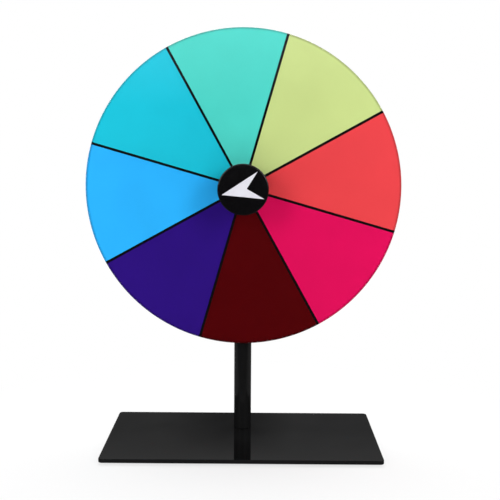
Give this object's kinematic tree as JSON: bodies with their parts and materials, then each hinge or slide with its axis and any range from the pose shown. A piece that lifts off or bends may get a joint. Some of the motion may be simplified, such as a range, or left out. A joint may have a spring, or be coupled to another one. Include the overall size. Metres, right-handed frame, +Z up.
{
  "type": "game spinner",
  "caption": "Tabletop game spinner: a round clear wheel with coloured sectors and a central arrow pointer, both free to spin on a spindle carried by a slim post on a flat rectangular base.",
  "frame": {"origin": "middle of the base footprint, on the table under the foot pads", "axes": "+Z up, -Y the way the printed face looks, +X to the right of someone facing it"},
  "size_m": [0.24, 0.125, 0.316],
  "materials": {
    "black_steel": "semi-gloss black powder coat",
    "foot_rubber": "matt black rubber",
    "steel": "plain bright zinc",
    "bearing_steel": "ground and polished",
    "cage_nylon": "moulded nylon",
    "black_plastic": "fine moulded texture",
    "pointer_black": "satin moulded black",
    "clear_acrylic": "polished clear sheet",
    "print_teal": "solid printed colour",
    "print_cyan": "solid printed colour",
    "print_light_blue": "solid printed colour",
    "print_indigo": "solid printed colour",
    "print_maroon": "solid printed colour",
    "print_magenta": "solid printed colour",
    "print_coral": "solid printed colour",
    "print_lime": "solid printed colour",
    "print_black": "solid printed black",
    "arrow_white": "white film"
  },
  "bodies": {
    "stand": {"base_plate": "black_steel", "foot_pad_front_left": "foot_rubber", "foot_pad_front_right": "foot_rubber", "foot_pad_rear_left": "foot_rubber", "foot_pad_rear_right": "foot_rubber", "post": "black_steel", "post_insert": "steel", "base_screw": "steel", "post_plug": "black_plastic", "front_saddle": "black_plastic", "rear_saddle": "black_plastic", "spindle": "steel", "spindle_nut": "steel", "rear_spacer": "steel", "mid_spacer": "steel", "retaining_washer": "steel", "retaining_screw": "steel", "wheel_bearing_inner_ring": "bearing_steel", "pointer_bearing_inner_ring": "bearing_steel"},
    "wheel": {"wheel_bearing_outer_ring": "bearing_steel", "wheel_bearing_shields": "bearing_steel", "wheel_hub": "black_plastic", "clamp_ring": "black_plastic", "hub_screws": "steel", "wheel_disc": "clear_acrylic", "sector_teal": "print_teal", "sector_cyan": "print_cyan", "sector_light_blue": "print_light_blue", "sector_indigo": "print_indigo", "sector_maroon": "print_maroon", "sector_magenta": "print_magenta", "sector_coral": "print_coral", "sector_lime": "print_lime", "divider_lines": "print_black"},
    "pointer": {"pointer_bearing_outer_ring": "bearing_steel", "pointer_bearing_shields": "bearing_steel", "pointer_body": "pointer_black", "pointer_cover": "pointer_black", "arrow": "arrow_white"},
    "wheel_ball_set": {"wheel_bearing_balls": "bearing_steel", "wheel_bearing_cage": "cage_nylon"},
    "pointer_ball_set": {"pointer_bearing_balls": "bearing_steel", "pointer_bearing_cage": "cage_nylon"}
  },
  "joints": [
    {"name": "wheel_spin", "type": "hinge", "parent": "stand", "child": "wheel", "pos_m": [0, 0.022, 0.196], "axis": [0, -1, 0], "continuous": true},
    {"name": "pointer_spin", "type": "hinge", "parent": "stand", "child": "pointer", "pos_m": [0, 0.022, 0.196], "axis": [0, -1, 0], "continuous": true},
    {"name": "wheel_ball_roll", "type": "hinge", "parent": "stand", "child": "wheel_ball_set", "pos_m": [0, 0.022, 0.196], "axis": [0, -1, 0], "continuous": true},
    {"name": "pointer_ball_roll", "type": "hinge", "parent": "stand", "child": "pointer_ball_set", "pos_m": [0, 0.022, 0.196], "axis": [0, -1, 0], "continuous": true}
  ],
  "couplings": [
    {"joint": "wheel_ball_roll", "follows": "wheel_spin", "ratio": 0.6323},
    {"joint": "pointer_ball_roll", "follows": "pointer_spin", "ratio": 0.6323}
  ]
}
